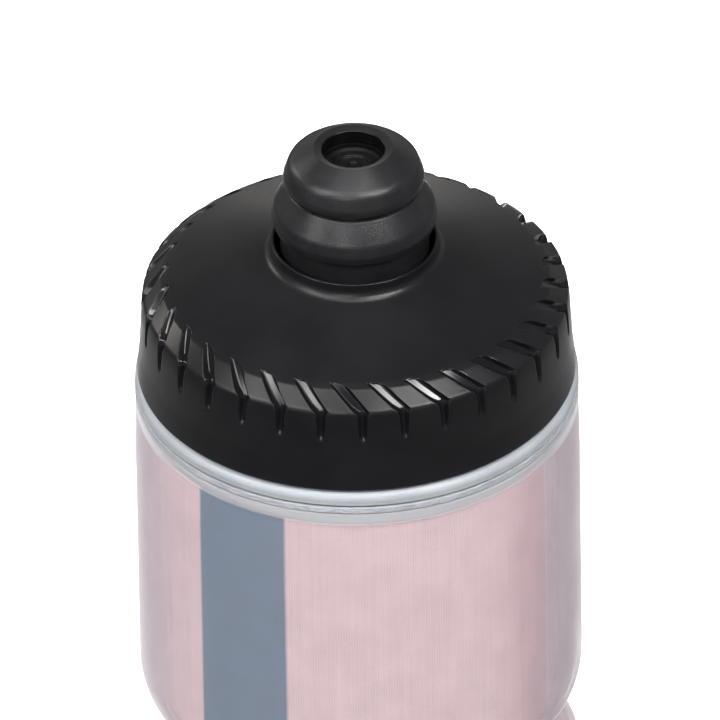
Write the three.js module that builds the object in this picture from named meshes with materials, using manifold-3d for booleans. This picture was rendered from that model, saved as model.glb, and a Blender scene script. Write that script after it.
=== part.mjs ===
// Insulated squeeze bottle for a bicycle cage, with a screw cap and a push-pull nozzle.
//
// Millimetres, +Z up, the origin at the middle of the foot ring that the bottle stands on.
// The bottle stands closed: the cap is screwed home and the nozzle is pushed down.
// A right-hand thread lifts the cap as it turns anticlockwise, seen from above.
// Loose layers and bonded pieces keep a gap of about 0.3 mm between their meshes.

import * as THREE from "three";
import { mergeVertices } from "three/addons/utils/BufferGeometryUtils.js";
import Module from "manifold-3d";

const wasm = await Module();
wasm.setup();

// ---------------------------------------------------------------- driving dimensions

const GAP = 0.3; // between two pieces that touch
const TURN = 2 * Math.PI;

// The jacket: a cylinder that fits a standard cage, with a grip waist.
const bodyRadius = 37;
const capBase = 192; // height of the cap's lower edge
const upperShoulder = 134.6; // where the upper cylinder starts to round in
const upperRound = 11.5; // its radius
const lowerShoulder = 105.5; // where the lower cylinder starts, averaged round the bottle
const lowerRound = 12;
const waistDepth = 5.6;
const waistRound = 7; // the hollow's own radius
const waistSlant = 4.5; // the lower shoulder is this much higher at +X and lower at -X
const slantTop = 130; // the slant fades in below here
const slantBottom = 45; // and has faded out again here
const footRound = 8;
const footInner = 26.2; // radius of the opening in the jacket's foot

// How far each layer of the double wall lies inside the jacket's outer surface.
const jacket = { outer: 0, inner: 0.9 };
const film = { outer: 1.2, inner: 1.5, top: capBase - 7.4, bottom: 9 };
const foil = { outer: 1.9, inner: 2.2, top: capBase - 8, bottom: 9.5 };
const liner = { outer: 2.9, inner: 3.9 };

// The neck and its thread.
const neck = { radius: 31, bore: 29.2, top: capBase + 12.2 };
const flange = { radius: 36.9, top: capBase - 0.4, bottom: capBase - 2.8 };
const thread = { pitch: 4.5, turns: 1.3, root: 2.2, crest: 1.0 };
const neckThread = { crest: 32.7, start: capBase + 3.4 };
const capThread = { crest: 31.5, start: capBase + 1.35 };

// The cap.
const capRadius = 36.5; // at its lower edge
const capBore = 33.4;
const rimEdge = { r: 35.1, z: capBase + 15.1 }; // where the rim band turns down into the wall
const crease = { r: 31, z: capBase + 18.1 }; // where the dome meets the rim band
const domeTop = { r: 15.3, z: capBase + 22.9 }; // where the dome meets the collar round the well
const well = { radius: 13.4, lip: capBase + 25.7, floor: capBase + 18.9, underside: capBase + 17.4, hole: 8.8 };
const sealSeat = capBase + 14.6; // underside of the cap over the neck
const gasket = { inner: 28.4, outer: 32.4, thickness: 1.8 };

// The grip notches round the rim.
const notchCount = 32;
const notch = { width: 2.7, footWidth: 1.2, depth: 1.2, reach: 5.9, sweep: THREE.MathUtils.degToRad(7.6) };

// The nozzle, closed. It slides up the post insert's chimney.
const nozzleTop = capBase + 43.9;
const bore = 5.2; // radius of the drinking hole
const chimney = { radius: 8.5, bore: 7.1, top: capBase + 32.8, bead: capBase + 26.5 };
const post = { radius: 2.8, top: capBase + 38 };
const core = { radius: 10.7, bore: 9.3, bottom: capBase + 20, shoulder: capBase + 33, headRadius: 8, top: capBase + 41.1 };
const valveLedge = capBase + 40.6;

// ---------------------------------------------------------------- materials

function material(colour, roughness, opacity = 1) {
  return new THREE.MeshStandardMaterial({ color: colour, roughness, metalness: 0, opacity, transparent: opacity < 1 });
}

const materials = {
  frosted: material(0xd5dade, 0.35, 0.45),
  film: material(0xdcc3c8, 0.55),
  foil: new THREE.MeshStandardMaterial({ color: 0xc4c8cc, roughness: 0.3, metalness: 0.9 }),
  liner: material(0xe4e9ec, 0.4, 0.8),
  base: material(0xc9ced2, 0.45),
  cap: material(0x222224, 0.42),
  grip: material(0x343436, 0.6),
  core: material(0x161617, 0.4),
  silicone: material(0x1a1a1b, 0.5),
  gasket: material(0xcdd2d4, 0.6),
};

// ---------------------------------------------------------------- shape helpers

// A closed outline of [radius, height] points turned about the Z axis.
function revolve(outline, segments) {
  const points = outline.map(([r, z]) => new THREE.Vector2(r, z));
  if (THREE.ShapeUtils.area(points) < 0) points.reverse();
  points.push(points[0].clone());
  return new THREE.LatheGeometry(points, segments).rotateX(Math.PI / 2);
}

// Points along an arc in the radius-height plane, both ends included. Angles are in degrees.
function arc(r, z, radius, from, to, steps) {
  return Array.from({ length: steps + 1 }, (_, i) => {
    const angle = THREE.MathUtils.degToRad(from + ((to - from) * i) / steps);
    return [r + radius * Math.cos(angle), z + radius * Math.sin(angle)];
  });
}

// The solid that a closed mesh bounds.
function toSolid(geometry) {
  const bare = geometry.clone();
  bare.deleteAttribute("normal");
  bare.deleteAttribute("uv");
  const merged = mergeVertices(bare, 1e-4);
  return new wasm.Manifold(
    new wasm.Mesh({
      numProp: 3,
      vertProperties: merged.getAttribute("position").array,
      triVerts: new Uint32Array(merged.index.array),
    }),
  );
}

function toGeometry(solid) {
  const mesh = solid.getMesh();
  const geometry = new THREE.BufferGeometry();
  geometry.setAttribute("position", new THREE.BufferAttribute(mesh.vertProperties, 3));
  geometry.setIndex(new THREE.BufferAttribute(mesh.triVerts, 1));
  geometry.computeVertexNormals();
  return geometry;
}

// Moves every vertex of a geometry: place(x, y, z) returns its new position.
function reshape(geometry, place) {
  const position = geometry.getAttribute("position");
  for (let i = 0; i < position.count; i++) {
    position.setXYZ(i, ...place(position.getX(i), position.getY(i), position.getZ(i)));
  }
  return geometry;
}

// A bar of four-sided section wound up a helix, from a box whose length becomes the winding.
// It narrows to nothing much at both ends. root and crest are its two radii.
function helixRidge(root, crest, start) {
  const steps = Math.round(thread.turns * 28);
  const lead = 0.08; // share of the length that each end tapers over
  return reshape(new THREE.BoxGeometry(1, 1, 1, steps, 1, 1), (x, y, z) => {
    const along = x + 0.5;
    const taper = Math.min(1, 0.25 + (0.75 * Math.min(along, 1 - along)) / lead);
    const angle = along * thread.turns * TURN;
    const radius = y > 0 ? crest * taper + root * (1 - taper) : root;
    const half = (y > 0 ? thread.crest : thread.root) * 0.5 * taper;
    const height = start + along * thread.turns * thread.pitch + Math.sign(z) * half;
    return [radius * Math.cos(angle), radius * Math.sin(angle), height];
  });
}

// A box may come out of reshape() inside out; this turns it back.
function outward(solid) {
  return solid.volume() < 0 ? toSolid(flipped(toGeometry(solid))) : solid;
}

function flipped(geometry) {
  const index = geometry.index.array;
  for (let i = 0; i < index.length; i += 3) [index[i], index[i + 1]] = [index[i + 1], index[i]];
  return geometry;
}

// ---------------------------------------------------------------- the double-walled body

const BODY_SEGMENTS = 32;

// The jacket's outer surface from the flange down to the start of the foot's rounding.
function bodyOutline() {
  const waistRadius = bodyRadius - waistDepth;
  const upper = THREE.MathUtils.radToDeg(Math.acos(1 - waistDepth / (upperRound + waistRound)));
  const lower = THREE.MathUtils.radToDeg(Math.acos(1 - waistDepth / (lowerRound + waistRound)));
  const rise = (radius, angle) => (radius + waistRound) * Math.sin(THREE.MathUtils.degToRad(angle));
  const hollow = waistRadius + waistRound;
  return [
    [bodyRadius - 0.15, capBase - 7.2],
    [bodyRadius, capBase - 16],
    ...arc(bodyRadius - upperRound, upperShoulder, upperRound, 0, -upper, 3),
    ...arc(hollow, upperShoulder - rise(upperRound, upper), waistRound, 180 - upper, 180, 2).slice(1),
    ...arc(hollow, lowerShoulder + rise(lowerRound, lower), waistRound, 180, 180 + lower, 2),
    ...arc(bodyRadius - lowerRound, lowerShoulder, lowerRound, lower, 0, 3).slice(1),
    [bodyRadius, slantBottom],
  ];
}

// The same line moved inwards by inset.
function wallLine(inset) {
  return bodyOutline().map(([r, z]) => [r - inset, z]);
}

// The waist's lower shoulder climbs towards +X. Every layer is slanted alike.
function slantWaist(geometry) {
  const fade = THREE.MathUtils.smoothstep;
  return reshape(geometry, (x, y, z) => {
    const radius = Math.hypot(x, y);
    const share = (1 - fade(z, lowerShoulder + 8, slantTop)) * fade(z, slantBottom, lowerShoulder - 6);
    const lift = radius > 1 ? (waistSlant * share * x) / radius : 0;
    return [x, y, z + lift];
  });
}

function outerJacket() {
  const top = flange.bottom - GAP;
  const rim = bodyRadius - 0.1;
  const footCentre = bodyRadius - footRound;
  return slantWaist(
    revolve(
      [
        [bodyRadius - 3, top],
        [rim - 0.2, top],
        [rim, top - 0.4],
        [rim, top - 1.0],
        [rim - 0.25, top - 1.2],
        [rim - 0.1, top - 1.6],
        ...wallLine(jacket.outer),
        ...arc(footCentre, footRound, footRound, 0, -90, 3),
        [footInner, 0],
        [footInner, 3],
        [footInner + jacket.inner, 3],
        [footInner + jacket.inner, jacket.inner],
        ...arc(footCentre, footRound, footRound - jacket.inner, -90, 0, 3),
        ...wallLine(jacket.inner).reverse(),
        [bodyRadius - 1.2, top - 1.6],
        [bodyRadius - 3, top - 0.8],
      ],
      BODY_SEGMENTS,
    ),
  );
}

// One of the loose sheets between the walls: an open tube that follows them.
function sheetTube(sheet) {
  const clip = (inset) => [[bodyRadius - 0.15 - inset, sheet.top], ...wallLine(inset).slice(1), [bodyRadius - inset, sheet.bottom]];
  return slantWaist(revolve([...clip(sheet.outer), ...clip(sheet.inner).reverse()], BODY_SEGMENTS));
}

function innerBottle() {
  const floor = 5.2;
  const round = 7;
  const corner = bodyRadius - liner.outer - round;
  const wall = liner.inner - liner.outer;
  const shell = slantWaist(
    revolve(
      [
        [neck.bore, neck.top],
        [neck.radius - 0.4, neck.top],
        [neck.radius, neck.top - 0.4],
        [neck.radius, flange.top],
        [flange.radius - 0.7, flange.top],
        [flange.radius, flange.top - 0.8],
        [flange.radius - 0.2, flange.bottom],
        [bodyRadius - liner.outer - 0.5, flange.bottom],
        ...wallLine(liner.outer),
        ...arc(corner, floor + round, round, 0, -90, 3),
        [corner - 8, floor],
        [0, floor + 2],
        [0, floor + 2 + wall],
        [corner - 8, floor + wall],
        ...arc(corner, floor + round, round - wall, -90, 0, 3),
        ...wallLine(liner.inner).reverse(),
        [neck.bore, flange.bottom + 0.6],
      ],
      BODY_SEGMENTS,
    ),
  );
  const ridge = outward(toSolid(helixRidge(neck.radius - 0.6, neckThread.crest, neckThread.start)));
  return toGeometry(toSolid(shell).add(ridge));
}

// A welded disc closes the jacket's foot. It sits just above the ground.
function basePlug() {
  const face = 1.4;
  const seat = 3 + GAP;
  return revolve(
    [
      [0, face + 0.6],
      [14, face + 0.6],
      [15, face],
      [footInner - GAP, face],
      [footInner - GAP, seat],
      [footInner + 3, seat],
      [footInner + 3, seat + 0.9],
      [0, seat + 0.9],
    ],
    BODY_SEGMENTS,
  );
}

// ---------------------------------------------------------------- the cap

// The cap's outer surface from the collar round the well down to its lower edge.
function capOutline() {
  return [
    [well.radius, well.lip - 0.2],
    [well.radius + 0.15, well.lip],
    [well.radius + 0.45, well.lip - 0.1],
    [well.radius + 0.6, well.lip - 1.2],
    [well.radius + 1.05, domeTop.z + 0.6],
    [domeTop.r, domeTop.z],
    [crease.r, crease.z],
    [crease.r + 1.3, crease.z - 0.5],
    [rimEdge.r - 0.2, rimEdge.z + 0.2],
    [rimEdge.r + 0.2, rimEdge.z - 0.5],
    [rimEdge.r + 0.6, capBase + 10],
    [rimEdge.r + 0.95, capBase + 4],
    [capRadius, capBase],
  ];
}

// The path a notch follows over the rim, as stations with the surface normal in the radius-height plane.
function notchPath() {
  const end = rimEdge.z - notch.reach;
  const grooveWidth = notch.width * 0.65;
  return [
    { r: crease.r - 0.2, z: crease.z + 0.05, normal: [0.35, 0.94], turn: 0, depth: -0.1, width: notch.width },
    { r: crease.r + 0.6, z: crease.z - 0.2, normal: [0.5, 0.87], turn: 0.2, depth: 0.6, width: notch.width },
    { r: rimEdge.r - 0.6, z: rimEdge.z + 0.5, normal: [0.65, 0.76], turn: 0.9, depth: notch.depth, width: notch.width },
    { r: rimEdge.r, z: rimEdge.z, normal: [0.85, 0.53], turn: 1, depth: notch.depth, width: notch.width * 0.8 },
    { r: rimEdge.r + 0.3, z: rimEdge.z - 1.2, normal: [1, 0], turn: 1, depth: notch.depth * 0.9, width: grooveWidth },
    { r: rimEdge.r + 0.65, z: end, normal: [1, 0], turn: 1, depth: 0.5, width: notch.footWidth },
  ];
}

// The cutter for one notch: a box bent along the path, as wide as the notch and standing clear of the surface.
function notchCutter() {
  const path = notchPath();
  const clear = 2;
  return reshape(new THREE.BoxGeometry(1, 1, 1, path.length - 1, 1, 1), (x, y, z) => {
    const station = path[Math.round((x + 0.5) * (path.length - 1))];
    const away = z > 0 ? clear : -station.depth;
    const radius = station.r + away * station.normal[0];
    const angle = station.turn * notch.sweep + (y * station.width) / station.r;
    return [radius * Math.cos(angle), radius * Math.sin(angle), station.z + away * station.normal[1]];
  });
}

function capShell() {
  const wallTop = sealSeat + 0.4;
  const shell = toSolid(
    revolve(
      [
        ...capOutline(),
        [capRadius - 0.5, capBase],
        [capBore + 0.4, capBase + 0.6],
        [capBore, capBase + 1.2],
        [capBore, sealSeat],
        [gasket.inner - 0.6, sealSeat],
        [gasket.inner - 1.2, wallTop],
        [well.radius + 2.8, domeTop.z - 2.4],
        [well.radius + 2, well.underside],
        [well.hole, well.underside],
        [well.hole, well.floor],
        [well.radius, well.floor],
      ],
      notchCount,
    ),
  );
  const ridge = outward(toSolid(helixRidge(capBore + 0.6, capThread.crest, capThread.start)));
  const cutter = outward(toSolid(notchCutter()));
  const pitch = 360 / notchCount;
  const cutters = Array.from({ length: notchCount }, (_, i) => cutter.rotate([0, 0, (i + 0.45) * pitch]));
  return toGeometry(shell.subtract(wasm.Manifold.union(cutters)).add(ridge));
}

function capGasket() {
  const top = sealSeat - 0.25;
  return revolve(
    [
      [gasket.inner, top - gasket.thickness],
      [gasket.outer, top - gasket.thickness],
      [gasket.outer, top],
      [gasket.inner, top],
    ],
    BODY_SEGMENTS,
  );
}

// ---------------------------------------------------------------- the post insert and its seals

const SMALL_SEGMENTS = 24;
const sealGroove = { bottom: capBase + 30.6, top: capBase + 32, radius: 7.9 };
const insertFlange = { radius: 13, top: capBase + 17.1, bottom: capBase + 15.9 };
const flangeGroove = { inner: 10.6, outer: 12.2, depth: 0.6 };

// The chimney with its flange, and the post that stands in it on three spokes.
function postInsert() {
  const tube = toSolid(
    revolve(
      [
        [chimney.bore, insertFlange.bottom],
        [insertFlange.radius, insertFlange.bottom],
        [insertFlange.radius, insertFlange.top],
        [flangeGroove.outer, insertFlange.top],
        [flangeGroove.outer, insertFlange.top - flangeGroove.depth],
        [flangeGroove.inner, insertFlange.top - flangeGroove.depth],
        [flangeGroove.inner, insertFlange.top],
        [chimney.radius, insertFlange.top],
        [chimney.radius, chimney.bead],
        [chimney.radius + 0.5, chimney.bead + 0.2],
        [chimney.radius + 0.5, chimney.bead + 0.6],
        [chimney.radius, chimney.bead + 1.2],
        [chimney.radius, sealGroove.bottom],
        [sealGroove.radius, sealGroove.bottom],
        [sealGroove.radius, sealGroove.top],
        [chimney.radius, sealGroove.top],
        [chimney.radius - 0.3, chimney.top],
        [chimney.bore, chimney.top],
      ],
      SMALL_SEGMENTS,
    ),
  );
  const stem = toSolid(
    revolve(
      [
        [0, capBase + 27],
        [post.radius - 0.8, capBase + 27.3],
        [post.radius, capBase + 28.2],
        [post.radius, post.top - 0.5],
        [post.radius - 0.5, post.top],
        [0, post.top],
      ],
      SMALL_SEGMENTS,
    ),
  );
  const spokeLength = chimney.bore + 0.4 - post.radius * 0.5;
  const spokes = [0, 1, 2].map((i) => {
    const spoke = new THREE.BoxGeometry(spokeLength, 1.3, 2);
    spoke.translate(post.radius * 0.5 + spokeLength / 2, 0, capBase + 29.6).rotateZ((i * TURN) / 3);
    return toSolid(spoke);
  });
  return toGeometry(spokes.reduce((made, spoke) => made.add(spoke), tube).add(stem));
}

// A round seal, centred on the axis at the given height.
function ring(radius, height, section) {
  return revolve(arc(radius, height, section, 0, 300, 5), SMALL_SEGMENTS);
}

// ---------------------------------------------------------------- the nozzle

// The hard slider: a sleeve over the chimney, with a head that holds the valve.
function nozzleCore() {
  return revolve(
    [
      [chimney.radius + 0.35, core.bottom],
      [core.radius, core.bottom],
      [core.radius, core.shoulder - 1],
      [core.headRadius, core.shoulder + 1.6],
      [core.headRadius, core.top],
      [bore + 0.1, core.top],
      [bore + 0.1, valveLedge],
      [6.6, valveLedge],
      [6.6, capBase + 33.6],
      [core.bore, capBase + 33.4],
      [core.bore, core.bottom + 1.6],
      [chimney.radius + 0.35, core.bottom + 1.2],
    ],
    SMALL_SEGMENTS,
  );
}

// The plug ring under the valve. The post closes its throat while the nozzle is down.
function valveRetainer() {
  return revolve(
    [
      [5.3, capBase + 34.2],
      [6.3, capBase + 34.2],
      [6.3, capBase + 38.9],
      [5.2, capBase + 38.9],
      [4.6, capBase + 38.2],
      [3.15, capBase + 38],
      [3.15, capBase + 36],
      [4.6, capBase + 35.6],
    ],
    SMALL_SEGMENTS,
  );
}

// The silicone valve: a disc with a thick edge, raised rings and a cross slit.
function flowValve() {
  const foot = capBase + 39.15;
  const face = capBase + 40.1;
  const slitLength = 4.4;
  const slitWidth = 0.15;
  const disc = toSolid(
    revolve(
      [
        [0, face - 0.7],
        [4.2, face - 0.7],
        [4.8, foot],
        [6.3, foot],
        [6.3, valveLedge - 0.25],
        [4.9, valveLedge - 0.25],
        [4.4, face],
        [3.1, face],
        [2.9, face + 0.35],
        [2.5, face + 0.35],
        [2.4, face],
        [1.2, face],
        [1.0, face + 0.3],
        [0, face + 0.3],
      ],
      SMALL_SEGMENTS,
    ),
  );
  const slit = (x, y) => toSolid(new THREE.BoxGeometry(x, y, 4).translate(0, 0, face));
  return toGeometry(disc.subtract(slit(slitLength, slitWidth)).subtract(slit(slitWidth, slitLength)));
}

// The soft grip: two stacked bells over a plain collar that drops into the cap's well.
function nozzleGrip() {
  const z = (height) => capBase + height;
  return revolve(
    [
      [bore, nozzleTop - 0.5],
      [6.55, nozzleTop],
      [10.3, z(41.7)],
      [10.8, z(41.2)],
      [11.7, z(38.8)],
      [11.7, z(37.7)],
      [11.5, z(37.45)],
      [10.6, z(37.3)],
      [10.5, z(36.7)],
      [11, z(36.4)],
      [13.1, z(32.8)],
      [13.6, z(31.6)],
      [13.7, z(30.6)],
      [13.4, z(29.4)],
      [12.4, z(29.1)],
      [12.3, z(19.4)],
      [core.radius + GAP, z(19.4)],
      [core.radius + GAP, core.shoulder - 0.9],
      [core.headRadius + GAP, core.shoulder + 1.8],
      [core.headRadius + GAP, core.top + GAP],
      [bore, core.top + GAP],
    ],
    SMALL_SEGMENTS,
  );
}

// ---------------------------------------------------------------- assembly

function piece(name, geometry, look) {
  const mesh = new THREE.Mesh(geometry, look);
  mesh.name = name;
  return mesh;
}

const bottle = new THREE.Group();
bottle.add(
  piece("outer_jacket", outerJacket(), materials.frosted),
  piece("graphic_film", sheetTube(film), materials.film),
  piece("foil_barrier", sheetTube(foil), materials.foil),
  piece("inner_bottle", innerBottle(), materials.liner),
  piece("base_plug", basePlug(), materials.base),
);

const lid = new THREE.Group();
lid.add(
  piece("cap", capShell(), materials.cap),
  piece("cap_gasket", capGasket(), materials.gasket),
  piece("post_insert", postInsert(), materials.core),
  piece("insert_seal", ring(11.4, insertFlange.top - 0.1, 0.35), materials.silicone),
  piece("nozzle_o_ring", ring(8.7, (sealGroove.bottom + sealGroove.top) / 2, 0.5), materials.silicone),
);

const nozzle = new THREE.Group();
nozzle.add(
  piece("nozzle_core", nozzleCore(), materials.core),
  piece("valve_retainer", valveRetainer(), materials.core),
  piece("flow_valve", flowValve(), materials.silicone),
  piece("nozzle_grip", nozzleGrip(), materials.grip),
);

const waterBottle = new THREE.Group();
waterBottle.add(bottle, lid, nozzle);

export default waterBottle;
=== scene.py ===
"""The looks of the insulated bicycle bottle: fine surfaces, materials, a pale floor and studio light."""

import math

import bmesh
import bpy
import numpy as np
from mathutils import Matrix, Vector, noise


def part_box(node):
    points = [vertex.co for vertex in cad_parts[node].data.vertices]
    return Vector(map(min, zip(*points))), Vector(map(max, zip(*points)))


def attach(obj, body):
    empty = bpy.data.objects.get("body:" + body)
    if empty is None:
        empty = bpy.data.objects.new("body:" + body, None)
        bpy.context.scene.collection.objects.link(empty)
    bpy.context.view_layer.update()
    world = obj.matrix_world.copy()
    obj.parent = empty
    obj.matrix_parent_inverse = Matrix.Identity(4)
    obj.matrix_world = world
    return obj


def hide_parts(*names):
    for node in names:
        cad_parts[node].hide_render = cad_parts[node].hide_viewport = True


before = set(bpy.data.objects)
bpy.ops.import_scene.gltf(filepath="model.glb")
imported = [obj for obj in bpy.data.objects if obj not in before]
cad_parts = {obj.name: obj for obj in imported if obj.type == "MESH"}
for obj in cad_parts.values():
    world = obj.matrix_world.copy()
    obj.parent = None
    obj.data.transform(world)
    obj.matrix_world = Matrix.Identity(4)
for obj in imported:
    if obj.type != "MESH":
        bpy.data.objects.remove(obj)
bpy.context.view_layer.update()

MM = 0.001
TURN = 2 * math.pi

# ---------------------------------------------------------------- places from the frame, in millimetres


def node_z(node):
    """The heights of a CAD node's bottom and top."""
    low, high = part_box(node)
    return low.z / MM, high.z / MM


CAP_BASE = node_z("cap")[0]
BODY_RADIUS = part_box("outer_jacket")[1].x / MM
JACKET_TOP = node_z("outer_jacket")[1]
NECK_TOP = node_z("inner_bottle")[1]
NOZZLE_TOP = node_z("nozzle_grip")[1]
FILM_BOTTOM, FILM_TOP = node_z("graphic_film")
FOIL_BOTTOM, FOIL_TOP = node_z("foil_barrier")
FLANGE_TOP = CAP_BASE - 0.4
FLANGE_BOTTOM = CAP_BASE - 2.8
BEAD_BOTTOM = JACKET_TOP - 1.1  # the rough bead that welds the jacket to the flange
HOLE_RADIUS = 5.22  # the drinking hole


# ---------------------------------------------------------------- mesh helpers

SAME_POINT = 1e-7  # metres: points closer than this are merged


def linked(obj):
    """The object, now in the scene."""
    bpy.context.scene.collection.objects.link(obj)
    return obj


def mesh_object(name, points, faces, sharp_degrees=35):
    """A smooth-shaded mesh from points in millimetres. Edges that bend more than sharp_degrees stay sharp."""
    mesh = bpy.data.meshes.new(name)
    mesh.from_pydata([tuple(p) for p in np.asarray(points, float) * MM], [], faces)
    mesh.update()
    mesh.shade_smooth()
    mesh.set_sharp_from_angle(angle=math.radians(sharp_degrees))
    return linked(bpy.data.objects.new(name, mesh))


def rounded(corners, spacing=0.5):
    """A closed line of (radius, height) points. Each corner is (radius, height, radius of its fillet)."""
    count = len(corners)
    line = []
    for i, (r, z, fillet) in enumerate(corners):
        here = np.array([r, z], float)
        before = np.array(corners[i - 1][:2], float) - here
        after = np.array(corners[(i + 1) % count][:2], float) - here
        to_before = before / np.linalg.norm(before)
        to_after = after / np.linalg.norm(after)
        half = math.acos(np.clip(to_before @ to_after, -1, 1)) / 2
        if fillet <= 0 or half > math.radians(89.5):
            line.append(here)
            continue
        reach = fillet / math.tan(half)
        middle = (to_before + to_after) / np.linalg.norm(to_before + to_after)
        centre = here + middle * fillet / math.sin(half)
        start = here + to_before * reach - centre
        end = here + to_after * reach - centre
        sweep = math.atan2(start[0] * end[1] - start[1] * end[0], start @ end)
        by_length = math.ceil(abs(sweep) * fillet / spacing)
        by_angle = math.ceil(abs(sweep) / math.radians(12))
        steps = max(3, by_length, by_angle)
        for k in range(steps + 1):
            angle = sweep * k / steps
            turn = np.array([[math.cos(angle), -math.sin(angle)], [math.sin(angle), math.cos(angle)]])
            line.append(centre + turn @ start)
    return np.array(line)


def smooth(value, low, high):
    """0 below low, 1 above high, and an even curve between them."""
    t = np.clip((value - low) / (high - low), 0, 1)
    return t * t * (3 - 2 * t)


def subdivided(line, spacing):
    """The same open line with points added so that none are further apart than spacing."""
    out = []
    for a, b in zip(line, line[1:]):
        steps = max(1, math.ceil(np.linalg.norm(b - a) / spacing))
        out += [a + (b - a) * k / steps for k in range(steps)]
    out.append(line[-1])
    return np.array(out)


def grid_faces(rows, columns):
    """Quads over a grid of points that closes both ways. Its columns go round the axis."""
    faces = []
    for i in range(rows):
        below = (i + 1) % rows * columns
        for j in range(columns):
            right = (j + 1) % columns
            faces.append((i * columns + j, i * columns + right, below + right, below + j))
    return faces


def revolve(name, line, segments, reshape=None):
    """A closed (radius, height) line turned about the axis, then changed by the function reshape."""
    line = np.asarray(line, float)
    angles = np.arange(segments) * TURN / segments
    x = np.outer(line[:, 0], np.cos(angles))
    y = np.outer(line[:, 0], np.sin(angles))
    z = np.repeat(line[:, 1:], segments, axis=1)
    rings = np.stack([x, y, z], axis=2).reshape(-1, 3)
    if reshape:
        rings = reshape(rings)
    obj = mesh_object(name, rings, grid_faces(len(line), segments))
    weld(obj)
    return obj


def weld(obj):
    """Merges points that coincide, drops faces that vanish with them, and turns every face outwards."""
    mesh = bmesh.new()
    mesh.from_mesh(obj.data)
    bmesh.ops.remove_doubles(mesh, verts=mesh.verts, dist=SAME_POINT)
    bmesh.ops.recalc_face_normals(mesh, faces=mesh.faces)
    mesh.to_mesh(obj.data)
    mesh.free()


def joined(name, objects):
    """One object made of several."""
    with bpy.context.temp_override(active_object=objects[0], selected_editable_objects=objects):
        bpy.ops.object.join()
    objects[0].name = name
    return objects[0]


THREAD_LIFT = 4.5  # for each turn
THREAD_TURNS = 1.3
# Half of the thread's section from crest to root, as (share of the ridge's height, distance from its middle).
THREAD_SECTION = [(1, 0), (0.9, 0.4), (0.55, 0.6), (0, 1.1)]
THREAD_FADE = 0.08  # the share of its length over which each end fades out


def helix_ridge(name, root, crest, start):
    """A thread: a rounded ridge wound up a helix from radius root to radius crest. Its ends fade out."""
    lower = [(out, -down) for out, down in reversed(THREAD_SECTION)]
    section = lower + THREAD_SECTION[1:]
    steps = round(THREAD_TURNS * 96)
    points = []
    for i in range(steps + 1):
        share = i / steps
        fade = min(1.0, 0.05 + min(share, 1 - share) / THREAD_FADE)
        fade = math.sin(fade * math.pi / 2)
        angle = share * THREAD_TURNS * TURN
        for out, up in section:
            radius = root + (crest - root) * out * fade
            z = start + share * THREAD_TURNS * THREAD_LIFT + up * fade
            points.append((radius * math.cos(angle), radius * math.sin(angle), z))
    width = len(section)
    faces = []
    for i in range(steps):
        here, there = i * width, (i + 1) * width
        for j in range(width):
            after = (j + 1) % width
            faces.append((here + j, here + after, there + after, there + j))
    faces += [tuple(range(width)), tuple(steps * width + j for j in reversed(range(width)))]
    obj = mesh_object(name, points, faces)
    weld(obj)
    return obj


# ---------------------------------------------------------------- material helpers


def srgb(red, green, blue):
    """A colour of 0 to 255 as Blender's linear RGBA."""
    def linear(value):
        value /= 255
        return value / 12.92 if value <= 0.04045 else ((value + 0.055) / 1.055) ** 2.4
    return (linear(red), linear(green), linear(blue), 1)


class Graph:
    """A node material under construction. Inputs may be numbers, colours or other nodes' outputs."""

    def __init__(self, name):
        self.material = bpy.data.materials.new(name)
        self.material.use_nodes = True
        self.tree = self.material.node_tree
        self.shader = self.tree.nodes["Principled BSDF"]

    def set(self, socket, value):
        """Links the value to the socket if it is a node's output, or else sets it there."""
        if isinstance(value, bpy.types.NodeSocket):
            self.tree.links.new(value, socket)
        else:
            socket.default_value = value

    def add(self, kind, inputs=None, output=0, **properties):
        """A new node's output."""
        node = self.tree.nodes.new(kind)
        for key, value in properties.items():
            setattr(node, key, value)
        for key, value in (inputs or {}).items():
            self.set(node.inputs[key], value)
        return node.outputs[output]

    def math(self, operation, a, b=0.0, c=0.0):
        return self.add("ShaderNodeMath", {0: a, 1: b, 2: c}, operation=operation)

    def remap(self, value, low, high, to_low=0.0, to_high=1.0, smooth=False):
        kind = "SMOOTHSTEP" if smooth else "LINEAR"
        inputs = {"Value": value, "From Min": low, "From Max": high, "To Min": to_low, "To Max": to_high}
        return self.add("ShaderNodeMapRange", inputs, interpolation_type=kind)

    def mix(self, factor, a, b):
        return self.add("ShaderNodeMix", {0: factor, 6: a, 7: b}, output=2, data_type="RGBA")

    def noise(self, vector, scale, detail=2.0, roughness=0.5):
        inputs = {"Vector": vector, "Scale": scale, "Detail": detail, "Roughness": roughness}
        return self.add("ShaderNodeTexNoise", inputs)

    def position(self):
        """The point in the row frame, in millimetres: every object sits at the origin."""
        metres = self.add("ShaderNodeTexCoord", output="Object")
        return self.add("ShaderNodeVectorMath", {0: metres, "Scale": 1 / MM}, operation="SCALE")

    def xyz(self, vector):
        node = self.tree.nodes.new("ShaderNodeSeparateXYZ")
        self.tree.links.new(vector, node.inputs[0])
        return node.outputs

    def bump(self, height, distance_mm, strength=1.0, normal=None):
        inputs = {"Height": height, "Distance": distance_mm * MM, "Strength": strength}
        if normal is not None:
            inputs["Normal"] = normal
        return self.add("ShaderNodeBump", inputs)

    def finish(self, **sockets):
        """Sets the Principled shader's sockets, named with underscores for spaces."""
        for key, value in sockets.items():
            self.set(self.shader.inputs[key.replace("_", " ")], value)
        return self.material


def wear(graph, position, low, high):
    """A slow uneven value, for roughness that isn't the same all over."""
    return graph.remap(graph.noise(position, 0.09, 3.0), 0.35, 0.65, low, high)


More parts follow.
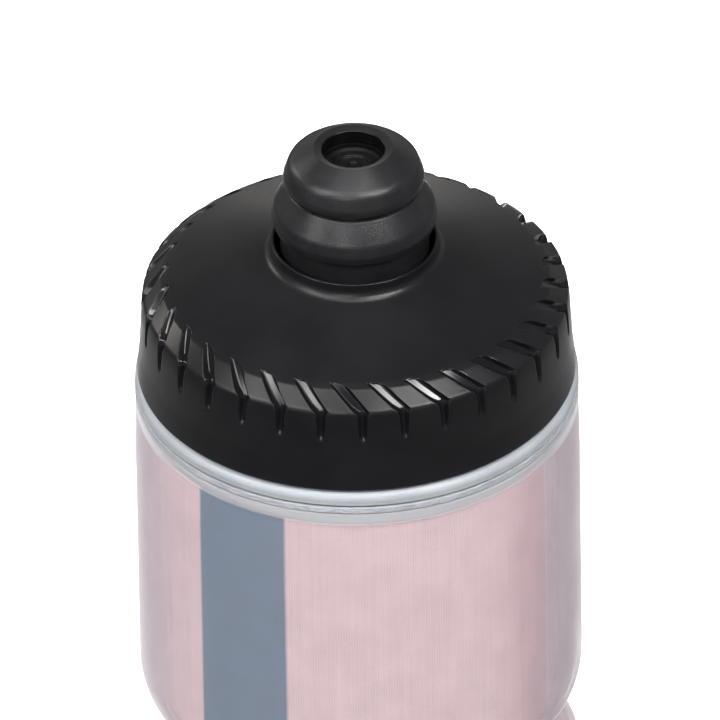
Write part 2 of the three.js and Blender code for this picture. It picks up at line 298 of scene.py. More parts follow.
def cap_plastic():
    """Black polypropylene with a satin grain. The attribute polish is 1 in the notches, which are glossy."""
    g = Graph("cap_plastic")
    position = g.position()
    polish = g.add("ShaderNodeAttribute", output="Fac", attribute_name="polish")
    grain = g.noise(position, 2.8, 3.0, 0.7)
    grain_depth = g.math("MULTIPLY", grain, g.remap(polish, 0.0, 0.6, 1.0, 0.0))
    cloud = g.noise(position, 0.12, 2.0)
    colour = g.mix(g.remap(cloud, 0.35, 0.65), srgb(15, 15, 17), srgb(19, 19, 21))
    return g.finish(
        Base_Color=colour,
        Roughness=g.remap(polish, 0.0, 0.6, wear(g, position, 0.29, 0.34), 0.13),
        Normal=g.bump(grain_depth, 0.04, 0.5),
        Specular_IOR_Level=0.25,
    )


def soft_rubber():
    """The nozzle cover's matte rubber, cloudy, and smoother inside the drinking hole, where painted shade
    makes it near black.
    """
    g = Graph("soft_rubber")
    position = g.position()
    x, y = g.xyz(position)[:2]
    grain = g.noise(position, 3.2, 3.0, 0.7)
    cloud = g.noise(position, 0.35, 3.0)
    colour = g.mix(g.remap(cloud, 0.35, 0.65), srgb(22, 22, 24), srgb(27, 27, 29))
    radius = g.math("SQRT", g.math("ADD", g.math("MULTIPLY", x, x), g.math("MULTIPLY", y, y)))
    # Inside the drinking hole the base colour is painted shade, near black where light doesn't reach in; the
    # rubber is also glossier there.
    hole_shade_and_gloss = g.remap(radius, HOLE_RADIUS + 0.08, HOLE_RADIUS + 0.23, 1.0, 0.0)
    return g.finish(
        Base_Color=g.mix(hole_shade_and_gloss, colour, srgb(5, 5, 6)),
        Roughness=g.remap(hole_shade_and_gloss, 0.0, 1.0, wear(g, position, 0.3, 0.35), 0.22),
        Normal=g.bump(grain, 0.05, 0.7),
        Specular_IOR_Level=0.3,
    )


def black_moulding(name, roughness):
    """Plain black plastic or silicone for the pieces inside the lid."""
    g = Graph(name)
    position = g.position()
    grain = g.noise(position, 4.0, 2.0)
    cloud = g.remap(g.noise(position, 0.3, 2.0), 0.35, 0.65)
    colour = g.mix(cloud, srgb(9, 9, 10), srgb(14, 14, 15))
    return g.finish(
        Base_Color=colour,
        Roughness=wear(g, position, roughness - 0.04, roughness + 0.04),
        Normal=g.bump(grain, 0.02, 0.4),
        Specular_IOR_Level=0.25,
    )


def frosted_jacket():
    """Translucent polyethylene: clear face on, milky edge on, and nearly opaque in the rough weld bead."""
    g = Graph("frosted_jacket")
    position = g.position()
    z = g.xyz(position)[2]
    facing = g.add("ShaderNodeLayerWeight", {"Blend": 0.5}, output="Facing")
    haze = g.remap(g.noise(position, 0.16, 3.0), 0.3, 0.7, -0.02, 0.02)
    milk = g.math("ADD", g.remap(facing, 0.4, 0.95, 0.06, 1.0, smooth=True), haze)
    bead = g.remap(z, BEAD_BOTTOM - 0.12, BEAD_BOTTOM + 0.05)
    above_film = g.remap(z, FILM_TOP + 0.4, FILM_TOP + 1.1)
    below_film = g.remap(z, FILM_BOTTOM - 2, FILM_BOTTOM, 1.0, 0.0)
    unlined = g.math("ADD", above_film, below_film)
    colour = g.mix(unlined, srgb(178, 165, 173), srgb(212, 213, 218))
    colour = g.mix(bead, colour, srgb(168, 172, 178))
    grain = g.noise(position, 3.0, 3.0, 0.6)
    beads = g.noise(position, 2.2, 3.0, 0.7)
    relief = g.bump(g.math("MULTIPLY", beads, bead), 0.5, 1.0, g.bump(grain, 0.02, 0.35))
    alpha = g.math("MAXIMUM", milk, g.math("MULTIPLY", unlined, 0.4))
    alpha = g.math("MAXIMUM", alpha, g.math("MULTIPLY", bead, 0.85))
    return g.finish(
        Base_Color=colour,
        Roughness=g.remap(bead, 0.0, 1.0, wear(g, position, 0.3, 0.36), 0.16),
        Alpha=alpha,
        Normal=relief,
        Specular_IOR_Level=0.35,
    )


def milky_liner():
    """The inner bottle and the base disc: milky plastic, creamier below the flange."""
    g = Graph("milky_liner")
    position = g.position()
    z = g.xyz(position)[2]
    cloud = g.noise(position, 0.2, 3.0)
    colour = g.mix(g.remap(cloud, 0.3, 0.7), srgb(146, 150, 155), srgb(153, 157, 162))
    cream = g.remap(z, FLANGE_BOTTOM, FLANGE_BOTTOM + 0.7, 1.0, 0.0)
    return g.finish(
        Base_Color=g.mix(cream, colour, srgb(186, 184, 181)),
        Roughness=wear(g, position, 0.34, 0.4),
        Normal=g.bump(g.noise(position, 1.2, 2.0), 0.02, 0.3),
        Specular_IOR_Level=0.25,
        Subsurface_Weight=0.35,
        Subsurface_Radius=(1.0, 1.0, 1.0),
        Subsurface_Scale=1.6 * MM,
    )


# Angles on the film, round from the front. Those towards -X are negative.
STRIPE_FROM = math.radians(-47.4)
STRIPE_TO = math.radians(-20.3)
STRIPE_BLUR = 0.3 / BODY_RADIUS
FILM_SEAM = math.radians(60)
SEAM_BLUR = 0.004
OVERLAP = 0.56  # from the seam to the end of the sheet behind it
WEAVE_PITCH = 0.45  # from thread to thread


def printed_film():
    """Pale pink film printed like a fine cloth, with one blue-grey stripe and an overlap seam, and painted
    shade darkening the pink towards the seam on the right side.
    """
    g = Graph("printed_film")
    position = g.position()
    x, y, z = g.xyz(position)
    angle = g.math("ARCTAN2", x, g.math("MULTIPLY", y, -1.0))
    round_mm = g.math("MULTIPLY", angle, BODY_RADIUS)
    sheet = g.add("ShaderNodeCombineXYZ", {0: round_mm, 1: g.math("MULTIPLY", z, 0.02), 2: 0.0})
    cross = g.add("ShaderNodeCombineXYZ", {0: g.math("MULTIPLY", round_mm, 0.25), 1: z, 2: 3.0})
    sway = g.math("MULTIPLY", g.noise(sheet, 0.5, 2.0), 2.0)
    thread = g.math("SINE", g.math("ADD", g.math("MULTIPLY", round_mm, TURN / WEAVE_PITCH), sway))
    warp = g.math("MULTIPLY_ADD", thread, 0.3, g.noise(sheet, 1.1, 2.0, 0.7))
    weft = g.noise(cross, 2.6, 1.0, 0.6)
    pink = g.mix(g.remap(warp, 0.1, 0.9), srgb(209, 185, 188), srgb(221, 199, 200))
    pink = g.mix(g.remap(weft, 0.3, 0.7, 0.0, 0.14), pink, srgb(184, 160, 168))
    blue = g.mix(g.remap(warp, 0.0, 1.0), srgb(108, 125, 142), srgb(115, 132, 149))
    after_from = g.remap(angle, STRIPE_FROM - STRIPE_BLUR, STRIPE_FROM + STRIPE_BLUR)
    before_to = g.remap(angle, STRIPE_TO - STRIPE_BLUR, STRIPE_TO + STRIPE_BLUR, 1.0, 0.0)
    printed = g.mix(g.math("MULTIPLY", after_from, before_to), pink, blue)
    past_seam = g.math("SUBTRACT", angle, FILM_SEAM)
    after_seam = g.remap(past_seam, -SEAM_BLUR, SEAM_BLUR)
    before_end = g.remap(past_seam, OVERLAP - SEAM_BLUR, OVERLAP + SEAM_BLUR, 1.0, 0.0)
    double = g.math("MULTIPLY", after_seam, before_end)
    printed = g.mix(g.math("MULTIPLY", double, 0.5), printed, srgb(176, 170, 180))
    # Painted shade: the pink darkens towards the seam, where the body turns away from the light on the right.
    seam_shade_ramp = g.remap(past_seam, -0.45, -0.02, smooth=True)
    before_seam = g.remap(past_seam, -SEAM_BLUR, SEAM_BLUR, 1.0, 0.0)
    right_side_shade = g.math("MULTIPLY", seam_shade_ramp, before_seam)
    printed = g.mix(g.math("MULTIPLY", right_side_shade, 0.45), printed, srgb(184, 148, 158))
    line = g.math("SUBTRACT", 1.0, g.remap(g.math("ABSOLUTE", past_seam), 0.003, 0.009))
    printed = g.mix(g.math("MULTIPLY", line, 0.5), printed, srgb(226, 214, 216))
    return g.finish(Base_Color=printed, Roughness=wear(g, position, 0.5, 0.6), Specular_IOR_Level=0.3)


def foil_sheet():
    """The metallised insulating sheet, slightly crinkled."""
    g = Graph("foil_sheet")
    position = g.position()
    crinkle = g.noise(position, 0.5, 4.0, 0.6)
    colour = g.mix(g.remap(crinkle, 0.3, 0.7), srgb(186, 188, 192), srgb(204, 206, 210))
    return g.finish(Base_Color=colour, Metallic=0.85, Roughness=0.35, Normal=g.bump(crinkle, 0.3, 0.4))


def milky_rubber():
    """The gasket's soft white rubber."""
    g = Graph("milky_rubber")
    position = g.position()
    cloud = g.remap(g.noise(position, 0.3, 3.0), 0.3, 0.7)
    colour = g.mix(cloud, srgb(196, 200, 202), srgb(208, 211, 213))
    return g.finish(Base_Color=colour, Roughness=0.55, Normal=g.bump(g.noise(position, 3.0), 0.02, 0.3))


def floor_paper():
    """Pale grey backdrop paper."""
    g = Graph("floor_paper")
    position = g.position()
    cloud = g.remap(g.noise(position, 0.01, 2.0), 0.3, 0.7)
    colour = g.mix(cloud, srgb(188, 188, 188), srgb(191, 191, 191))
    return g.finish(Base_Color=colour, Roughness=0.9, Specular_IOR_Level=0.1)


# ---------------------------------------------------------------- camera

ELEVATION = math.radians(35.5)
ROLL = math.radians(0.9)  # the bottle leans a little to the left in the picture
DISTANCE = 5.0
FRAME_WIDTH = 0.1196  # what the picture spans at the bottle
SENSOR = 36.0
AIM = (0.57, 0, CAP_BASE + 0.68)  # the point in the middle of the picture, in millimetres


def add_camera():
    """A long lens far off, looking down at the front of the cap."""
    data = bpy.data.cameras.new("camera")
    data.sensor_width = SENSOR
    data.lens = SENSOR * DISTANCE / FRAME_WIDTH
    data.clip_start = 0.1
    data.clip_end = 100
    camera = linked(bpy.data.objects.new("camera", data))
    target = Vector(AIM) * MM
    back = Vector((0, -math.cos(ELEVATION), math.sin(ELEVATION)))
    turn = back.to_track_quat("Z", "Y").to_matrix().to_4x4() @ Matrix.Rotation(-ROLL, 4, "Z")
    camera.matrix_world = Matrix.Translation(target + back * DISTANCE) @ turn
    bpy.context.scene.camera = camera


# ---------------------------------------------------------------- the double-walled body

# The waist: where its two shoulders start, how deep it is, and the radii of its curves.
UPPER_SHOULDER = CAP_BASE - 57.4
LOWER_SHOULDER = CAP_BASE - 86.5
WAIST_DEPTH = 5.6
UPPER_ROUND = 11.5
LOWER_ROUND = 12.0
WAIST_ROUND = 7.0
WAIST_SLANT = 4.5  # how far the lower shoulder climbs at +X, and drops at -X
SLANT_TOP = CAP_BASE - 62
SLANT_BOTTOM = CAP_BASE - 147
FOOT_ROUND = 8.0
FOOT_INNER = 26.2  # the inside of the foot ring
TOP_HEIGHT = 2.4  # how far down the jacket's thicker top reaches
BEAD_HEIGHT = 0.11  # of the bumps on the weld bead


def arc(r, z, radius, start, end, steps):
    """Points along an arc in the radius-height plane. Angles are in degrees."""
    angles = np.radians(np.linspace(start, end, steps + 1))
    return [(r + radius * math.cos(a), z + radius * math.sin(a)) for a in angles]


def body_line(inset):
    """The jacket's outer surface below the film's top edge, down to the foot, moved inwards by inset."""
    hollow = BODY_RADIUS - WAIST_DEPTH + WAIST_ROUND
    upper = math.degrees(math.acos(1 - WAIST_DEPTH / (UPPER_ROUND + WAIST_ROUND)))
    lower = math.degrees(math.acos(1 - WAIST_DEPTH / (LOWER_ROUND + WAIST_ROUND)))
    upper_rise = (UPPER_ROUND + WAIST_ROUND) * math.sin(math.radians(upper))
    lower_rise = (LOWER_ROUND + WAIST_ROUND) * math.sin(math.radians(lower))
    line = [
        (BODY_RADIUS - 0.15, FILM_TOP),
        (BODY_RADIUS, CAP_BASE - 16),
        *arc(BODY_RADIUS - UPPER_ROUND, UPPER_SHOULDER, UPPER_ROUND, 0, -upper, 14),
        *arc(hollow, UPPER_SHOULDER - upper_rise, WAIST_ROUND, 180 - upper, 180, 8)[1:],
        *arc(hollow, LOWER_SHOULDER + lower_rise, WAIST_ROUND, 180, 180 + lower, 8),
        *arc(BODY_RADIUS - LOWER_ROUND, LOWER_SHOULDER, LOWER_ROUND, lower, 0, 14)[1:],
        (BODY_RADIUS, SLANT_BOTTOM),
    ]
    return subdivided(np.array(line) - (inset, 0), 3.0)


def slant_waist(points):
    """Makes the waist's lower shoulder climb towards +X."""
    x, y, z = points.T
    share = (1 - smooth(z, LOWER_SHOULDER + 8, SLANT_TOP)) * smooth(z, SLANT_BOTTOM, LOWER_SHOULDER - 6)
    radius = np.maximum(np.hypot(x, y), 1.0)
    return np.stack([x, y, z + WAIST_SLANT * share * x / radius], axis=1)


def uneven_bead(points):
    """Makes the outside of the weld bead uneven, then slants the waist."""
    out = points.copy()
    for i, (x, y, z) in enumerate(points):
        radius = math.hypot(x, y)
        in_bead = smooth(z, BEAD_BOTTOM, BEAD_BOTTOM + 0.25)
        share = in_bead * smooth(radius, BODY_RADIUS - 0.9, BODY_RADIUS - 0.5)
        if share > 0:
            coarse = noise.noise(Vector((x * 0.9, y * 0.9, z * 3.5)))
            fine = noise.noise(Vector((x * 3, y * 3, z * 4)))
            out[i, :2] *= 1 + BEAD_HEIGHT * share * (coarse + 0.5 * fine) / radius
    return slant_waist(out)


def jacket():
    """The outer wall: the weld bead at its top, the waist, and the foot ring."""
    r = BODY_RADIUS
    z = JACKET_TOP
    foot = r - FOOT_ROUND
    wall = 0.9
    top = rounded([
        (r - 3, z, 0.1), (r - 0.12, z, 0.18), (r - 0.05, z - 1.0, 0.25), (r - 0.17, z - 1.25, 0.15),
        (r - 0.1, z - 1.7, 0.3), (r - 0.15, z - TOP_HEIGHT, 0), (r - 1.2, z - TOP_HEIGHT, 0),
        (r - 1.3, z - 1.4, 0.3), (r - 3, z - 0.8, 0.1),
    ], 0.15)
    split = next(i for i, p in enumerate(top) if p[1] <= z - TOP_HEIGHT + 0.01) + 1
    line = [
        *top[:split],
        *body_line(0),
        *arc(foot, FOOT_ROUND, FOOT_ROUND, 0, -90, 12),
        (FOOT_INNER, 0),
        (FOOT_INNER, 3),
        (FOOT_INNER + wall, 3),
        (FOOT_INNER + wall, wall),
        *arc(foot, FOOT_ROUND, FOOT_ROUND - wall, -90, 0, 12),
        *body_line(wall)[::-1],
        *top[split:],
    ]
    return revolve("jacket", line, 512, uneven_bead)


def sheet(name, outer, inner, top, bottom):
    """One of the loose sheets between the walls."""
    def side(inset):
        return [(BODY_RADIUS - 0.15 - inset, top), *body_line(inset)[1:], (BODY_RADIUS - inset, bottom)]

    return revolve(name, [*side(outer), *side(inner)[::-1]], 256, slant_waist)


def inner_bottle():
    """The inner bottle with its neck, thread and weld flange."""
    inset = 2.9
    wall = 1.0
    floor = 5.2
    corner_round = 7.0
    corner = BODY_RADIUS - inset - corner_round
    neck = 31.0
    bore = 29.2
    flange = 36.95
    head = rounded([
        (bore, NECK_TOP, 0.3), (neck, NECK_TOP, 0.4), (neck, FLANGE_TOP, 0.5),
        (flange, FLANGE_TOP, 1.5), (flange - 0.1, FLANGE_BOTTOM, 0.3),
        (BODY_RADIUS - inset - 0.5, FLANGE_BOTTOM, 0.2), (BODY_RADIUS - inset - 0.15, FILM_TOP, 0),
        (bore, FLANGE_BOTTOM + 0.6, 2.0),
    ], 0.2)
    split = next(i for i, p in enumerate(head) if abs(p[1] - FILM_TOP) < 1e-6)
    shell = revolve("inner_shell", [
        *head[:split],
        *body_line(inset),
        *arc(corner, floor + corner_round, corner_round, 0, -90, 10),
        (corner - 8, floor),
        (0, floor + 2),
        (0, floor + 2 + wall),
        (corner - 8, floor + wall),
        *arc(corner, floor + corner_round, corner_round - wall, -90, 0, 10),
        *body_line(inset + wall)[::-1],
        *head[split + 1:],
    ], 256, slant_waist)
    thread = helix_ridge("neck_thread", neck - 0.6, 32.7, CAP_BASE + 3.4)
    return joined("inner_bottle_shell", [shell, thread])


def base_disc():
    """The disc welded into the foot ring."""
    return revolve("base_disc", rounded([
        (0, 2, 0), (13.5, 2, 0.5), (15.5, 1.4, 0.5), (FOOT_INNER - 0.3, 1.4, 0.4),
        (FOOT_INNER - 0.3, 3.3, 0.2), (FOOT_INNER + 3, 3.3, 0.2), (FOOT_INNER + 3, 4.2, 0.2), (0, 4.2, 0),
    ], 0.4), 128)


# ---------------------------------------------------------------- the cap

NOTCHES = 32
NOTCH_PITCH = TURN / NOTCHES
NOTCH_PHASE = math.radians(1.4)  # the wall groove nearest the front stands this far towards +X
NOTCH_SWEEP = math.radians(7.6)  # how far a notch's inner end lags behind its wall groove
NOTCH_HALF = 1.38  # half the notch's width round the rim, on the band
GROOVE_HALF = 0.88  # and at the top of the wall groove
FOOT_HALF = 0.62  # and at its foot
WELL = 13.4  # the radius of the well that the nozzle stands in
CREASE = (31.0, CAP_BASE + 18.1)  # where the dome meets the rim band
BAND_EDGE = CAP_BASE + 14.9  # where the band turns down into the wall
WALL_FROM = 34  # the wall's outside is further from the axis than this
NOTCH_TIP = (30.75, CAP_BASE + 18.15)  # where a notch starts, at the crease
NOTCH_KNEE = (34.1, CAP_BASE + 14.5)  # where its floor turns down
NOTCH_FOOT = (35.57, CAP_BASE + 9.1)  # and where its floor ends

# One wall of a notch, as (share of the wall's width, share of the depth).
NOTCH_WALL = [(-0.3, 0.0), (0.0, 0.0), (0.1, 0.07), (0.22, 0.24), (0.45, 0.62), (0.65, 0.87), (0.85, 0.97),
              (1.0, 1.0)]
LEFT_WALL, RIGHT_WALL = 0.4, 0.6  # each wall's width on the band, as a share of half the notch's width
GROOVE_WALL = 0.93  # and down the outside, where the groove is nearly a half round
FLOOR_COLUMNS = 5
LAND_COLUMNS = 6
FINE_ROW = 0.15  # the rows' spacing over the notches
TIP_FADE = 0.3  # how soon a notch reaches its depth from its inner end
FOOT_FADE = 1.3  # and from its foot
FRONT = -TURN / 4


def cap_outer_line():
    """The cap's outer surface from the collar round the well to the lower edge, open at both ends."""
    z = CAP_BASE
    return rounded([
        (WELL, z + 19.4, 0), (WELL, z + 25.75, 0.14), (WELL + 0.5, z + 25.75, 0.16),
        (WELL + 0.55, z + 23.35, 1.9), (*CREASE, 0.4), (32.3, z + 17.6, 1.5), (35.3, z + 15.0, 1.5),
        (35.6, z + 13, 20), (36.0, z + 5, 40), (36.5, z, 0.3), (35.9, z, 0),
    ], 0.2)


def cap_inner_line():
    """The cap's inner surface from the lower edge up to the floor of the well, open at both ends."""
    z = CAP_BASE
    return rounded([
        (36.1, z, 0.3), (33.9, z + 0.4, 0.3), (33.4, z + 1.2, 0.3), (33.4, z + 14.6, 0.3),
        (27.8, z + 14.6, 0.3), (27.2, z + 15, 0.5), (16.4, z + 21, 1), (15.5, z + 17.4, 0.5),
        (8.8, z + 17.4, 0.3), (8.8, z + 18.9, 0.3), (WELL, z + 18.9, 0.4),
    ], 0.4)


def along(line):
    """How far each point of a line is from its start, measured along it."""
    return np.r_[0, np.cumsum(np.linalg.norm(np.diff(line, axis=0), axis=1))]


def wall_point(line, height):
    """The number of the first point that is on the outside of the wall and below height."""
    return int(np.argmax((line[:, 0] > WALL_FROM) & (line[:, 1] < height)))


def notch_section(r, half, left_wall, right_wall):
    """A notch and the land after it at radius r: distances round the rim, and shares of the depth."""
    left = [(-half + share * left_wall, down) for share, down in NOTCH_WALL]
    right = [(half - share * right_wall, down) for share, down in reversed(NOTCH_WALL)]
    next_notch = NOTCH_PITCH * r + left[0][0]
    floor = [(offset, 1.0) for offset in np.linspace(left[-1][0], right[0][0], FLOOR_COLUMNS + 2)[1:-1]]
    land = [(offset, 0.0) for offset in np.linspace(right[-1][0], next_notch, LAND_COLUMNS + 2)[1:-1]]
    return np.array(left + floor + right + land).T


def cap_shell():
    """The cap with its notches and thread: a grid whose columns follow the notches' edges."""
    outer = subdivided(cap_outer_line(), 1.0)
    inner = subdivided(cap_inner_line(), 2.0)

    # Fine rows where the notches are, coarse ones elsewhere.
    start = int(np.argmax(outer[:, 0] > NOTCH_TIP[0] - 0.6))
    end = wall_point(outer, NOTCH_FOOT[1] - 0.5)
    fine = subdivided(outer[start:end + 1], FINE_ROW)
    rows = np.array([*outer[:start], *fine, *outer[end + 1:], *inner])
    outer_count = len(rows) - len(inner)
    run = along(rows)  # how far along the cap's line each row is
    tip = run[int(np.argmax(rows[:, 0] > NOTCH_TIP[0]))]
    knee = run[wall_point(rows, BAND_EDGE)]
    foot = run[wall_point(rows, NOTCH_FOOT[1])]

    # Where the notch's floor runs under each row. The point inside only closes the line, and is dropped.
    inside = (30, NOTCH_FOOT[1])
    floor_line = rounded([(*NOTCH_TIP, 0), (*NOTCH_KNEE, 0.7), (*NOTCH_FOOT, 0), (*inside, 0)], 0.1)[:-1]
    floor_run = along(floor_line)
    bend = floor_run[int(np.argmax(floor_line[:, 1] < NOTCH_KNEE[1] + 0.05))]
    reach = np.interp(run, [tip, knee, foot], [0, bend, floor_run[-1]])
    floor_r = np.interp(reach, floor_run, floor_line[:, 0])
    floor_z = np.interp(reach, floor_run, floor_line[:, 1])
    turn = NOTCH_SWEEP * np.clip((run - tip) / (knee - tip), 0, 1)
    half = np.interp(run, [knee - 0.4, knee + 0.9, foot], [NOTCH_HALF, GROOVE_HALF, FOOT_HALF])
    half *= np.minimum(1, rows[:, 0] / NOTCH_TIP[0])
    left_wall = half * np.interp(run, [knee - 1.0, knee + 0.6], [LEFT_WALL, GROOVE_WALL])
    right_wall = half * np.interp(run, [knee - 1.0, knee + 0.6], [RIGHT_WALL, GROOVE_WALL])

    points, polish = [], []
    for i, (r, height) in enumerate(rows):
        offsets, depths = notch_section(r, half[i], left_wall[i], right_wall[i])
        across = np.clip(offsets / half[i], -1, 1)
        inner_end = tip + 0.1 * (across + 1) + 1.1 * np.clip(across, 0, 1) ** 2.5
        started = smooth(run[i], inner_end, inner_end + TIP_FADE)
        ended = smooth(foot - half[i] * (1 - np.sqrt(1 - across ** 2)) - run[i], 0, FOOT_FADE)
        sunk = depths * started * ended if i < outer_count else np.zeros(len(offsets))
        radius = r + sunk * (floor_r[i] - r)
        level = height + sunk * (floor_z[i] - height)
        for k in range(NOTCHES):
            angle = FRONT + NOTCH_PHASE - NOTCH_SWEEP + k * NOTCH_PITCH + turn[i] + offsets / r
            points.append(np.stack([radius * np.cos(angle), radius * np.sin(angle), level], 1))
            polish.append(np.clip(sunk / 0.2, 0, 1) * smooth(foot - run[i], 0.4, 1.4))
    columns_round = NOTCHES * len(points[0])
    shell = mesh_object("cap_wall", np.concatenate(points), grid_faces(len(rows), columns_round), 50)
    attribute = shell.data.attributes.new("polish", "FLOAT", "POINT")
    attribute.data.foreach_set("value", np.concatenate(polish).astype(np.float32))
    weld(shell)
    thread = helix_ridge("cap_thread", 34.0, 31.5, CAP_BASE + 1.35)
    return joined("screw_cap", [shell, thread])


def gasket_ring():
    """The flat ring that seals the cap on the neck."""
    low, high = node_z("cap_gasket")
    section = rounded([(28.4, low, 0.3), (32.4, low, 0.3), (32.4, high, 0.3), (28.4, high, 0.3)])
    return revolve("gasket_ring", section, 128)


# ---------------------------------------------------------------- the nozzle


def nozzle_cover():
    """The soft cover: two bells over a collar that drops into the cap's well."""
    z = CAP_BASE
    return revolve("nozzle_cover", rounded([
        (HOLE_RADIUS, z + 41.4, 0), (HOLE_RADIUS, z + 43.45, 0.15), (6.56, NOZZLE_TOP, 0.12),
        (10.75, z + 41.45, 2.6), (11.8, z + 38.5, 2.4), (11.65, z + 37.45, 0.3), (10.6, z + 37.25, 0.25),
        (10.5, z + 36.75, 0.25), (11.1, z + 36.4, 0.4), (13.4, z + 32.8, 2.4), (13.8, z + 30.8, 1.5),
        (13.4, z + 29.35, 0.3), (12.4, z + 29.1, 0.2), (12.3, z + 19.4, 0.3), (11.0, z + 19.4, 0),
        (11.0, z + 32.1, 0), (8.3, z + 34.8, 0), (8.3, z + 41.4, 0),
    ], 0.2), 224)


def valve_disc():
    """The silicone valve at the bottom of the drinking hole."""
    face = CAP_BASE + 40.1
    return revolve("valve_disc", rounded([
        (0, face - 0.7, 0), (4.2, face - 0.7, 0.2), (4.8, face - 0.95, 0.2), (6.3, face - 0.95, 0.1),
        (6.3, face + 0.25, 0.1), (4.9, face + 0.25, 0.2), (4.4, face, 0.3), (3.2, face, 0.1),
        (3.05, face + 0.35, 0.1), (2.75, face + 0.35, 0.1), (2.6, face, 0.1), (1.35, face, 0.1),
        (1.2, face + 0.3, 0.1), (0.9, face + 0.3, 0.1), (0.75, face, 0.1), (0, face, 0),
    ], 0.1), 96)


# ---------------------------------------------------------------- stage and light


FLOOR_RADIUS = 4000
FLOOR_SIDES = 64
FLOOR_GAP = 0.2  # keeps the floor's face apart from the foot ring's


def add_floor():
    """A round sheet of paper, wide enough to fill the picture."""
    angles = np.arange(FLOOR_SIDES) * TURN / FLOOR_SIDES
    rim = [(FLOOR_RADIUS * math.cos(a), FLOOR_RADIUS * math.sin(a), 0) for a in angles]
    faces = [(0, i + 1, (i + 1) % FLOOR_SIDES + 1) for i in range(FLOOR_SIDES)]
    floor = mesh_object("floor", [(0, 0, 0), *rim], faces)
    floor.location.z = -FLOOR_GAP * MM
    floor.data.materials.append(floor_paper())


WHITE = (1.0, 1.0, 1.0)
WARM = (1.0, 0.94, 0.87)
BEAM = 24  # a soft box's spread in degrees: narrow, as behind a grid
FLOOR_BEAM = 10


def area_light(name, width, height, power, spread, colour=WHITE):
    """A rectangular light that the camera doesn't see."""
    data = bpy.data.lights.new(name, "AREA")
    data.shape = "RECTANGLE"
    data.size = width
    data.size_y = height
    data.energy = power
    data.color = colour
    data.spread = math.radians(spread)
    light = linked(bpy.data.objects.new(name, data))
    light.visible_camera = False
    return light


def softbox(name, azimuth, elevation, distance, width, height, power, aim=CAP_BASE, colour=WHITE):
    """A soft box aimed at the height aim on the bottle's axis. Azimuth 0 is the camera's side, 90 is +X."""
    around = math.radians(azimuth)
    up = math.radians(elevation)
    out = Vector((math.sin(around) * math.cos(up), -math.cos(around) * math.cos(up), math.sin(up)))
    place = Matrix.Translation(Vector((0, 0, aim * MM)) + out * distance)
    light = area_light(name, width, height, power, BEAM, colour)
    light.matrix_world = place @ out.to_track_quat("Z", "Y").to_matrix().to_4x4()


def add_world():
    """A dim studio, brighter at the horizon than overhead."""
    world = bpy.data.worlds.new("studio")
    world.use_nodes = True
    nodes, links = world.node_tree.nodes, world.node_tree.links
    coordinate = nodes.new("ShaderNodeTexCoord")
    split = nodes.new("ShaderNodeSeparateXYZ")
    ramp = nodes.new("ShaderNodeMapRange")
    ramp.interpolation_type = "SMOOTHSTEP"
    ramp.inputs["From Min"].default_value = 0.0
    ramp.inputs["From Max"].default_value = 0.5
    ramp.inputs["To Min"].default_value = 0.5
    ramp.inputs["To Max"].default_value = 0.2
    links.new(coordinate.outputs["Generated"], split.inputs[0])
    links.new(split.outputs["Z"], ramp.inputs["Value"])
    links.new(ramp.outputs[0], nodes["Background"].inputs["Strength"])
    nodes["Background"].inputs["Color"].default_value = (1, 1, 1, 1)
    bpy.context.scene.world = world


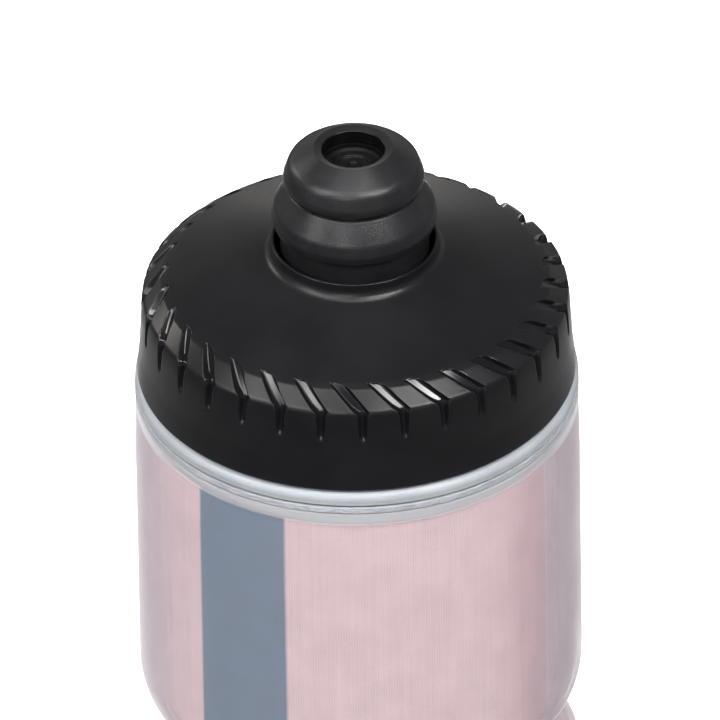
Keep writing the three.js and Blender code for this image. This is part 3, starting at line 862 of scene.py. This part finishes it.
def add_lights():
    """Boxes round the front, sides and back, and one over the floor behind the bottle.

    That one whitens the background. It points straight down, and only its soft edge grazes the bottle.
    """
    softbox("top", 0, 78, 1.1, 0.3, 0.25, 0.045)
    softbox("top_right", 47, 68, 1.1, 0.25, 0.25, 0.1)
    softbox("top_left", -50, 68, 1.1, 0.25, 0.25, 0.05)
    softbox("front_left", -30, 48, 1.6, 0.8, 0.35, 0.3, aim=170)
    softbox("front_right", 22, 50, 1.6, 0.45, 0.3, 0.24, aim=170)
    softbox("front_low", -15, 28, 1.6, 0.7, 0.3, 0.22, aim=120)
    softbox("right", 49, 45, 1.1, 0.35, 0.25, 0.24)
    softbox("left", -62, 45, 1.1, 0.4, 0.4, 0.21)
    softbox("left_low", -60, 25, 1.3, 0.3, 0.5, 0.12, aim=120)
    softbox("back", 180, 8, 1.6, 2.8, 0.25, 0.11, colour=WARM)
    softbox("back_left", -125, 25, 1.3, 0.4, 0.3, 0.1, colour=WARM)
    background = area_light("background", 0.18, 0.32, 1.2, FLOOR_BEAM)
    background.location = (0, 0.265, 0.9)


# ---------------------------------------------------------------- assembly

bpy.context.scene.view_settings.view_transform = "Standard"
add_camera()
add_world()
add_lights()
add_floor()

printed_sheet = sheet("printed_sheet", 1.2, 1.5, FILM_TOP, FILM_BOTTOM)
insulation = sheet("foil_sheet", 1.9, 2.2, FOIL_TOP, FOIL_BOTTOM)

# Each row: the piece, its body, the CAD node that it replaces, its material and the record's slot.
pieces = [
    (jacket(), "bottle", "outer_jacket", frosted_jacket(), "frosted_jacket"),
    (printed_sheet, "bottle", "graphic_film", printed_film(), "printed_film"),
    (insulation, "bottle", "foil_barrier", foil_sheet(), "foil"),
    (inner_bottle(), "bottle", "inner_bottle", milky_liner(), "clear_liner"),
    (base_disc(), "bottle", "base_plug", milky_liner(), "frosted_base"),
    (cap_shell(), "cap", "cap", cap_plastic(), "cap_plastic"),
    (gasket_ring(), "cap_seal", "cap_gasket", milky_rubber(), "gasket"),
    (nozzle_cover(), "nozzle", "nozzle_grip", soft_rubber(), "soft_grip"),
    (valve_disc(), "nozzle", "flow_valve", black_moulding("valve_silicone", 0.35), "black_silicone"),
]
for piece, body, node, material, slot in pieces:
    piece.data.materials.clear()
    piece.data.materials.append(material)
    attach(piece, body)
    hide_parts(node)

# CAD pieces that keep their own shape.
carried = {
    "post_insert": black_moulding("insert_plastic", 0.4),
    "nozzle_core": black_moulding("core_plastic", 0.4),
    "valve_retainer": black_moulding("retainer_plastic", 0.4),
    "insert_seal": black_moulding("seal_silicone", 0.5),
    "nozzle_o_ring": black_moulding("o_ring_silicone", 0.35),
}
for node, material in carried.items():
    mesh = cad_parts[node].data
    mesh.materials.clear()
    mesh.materials.append(material)
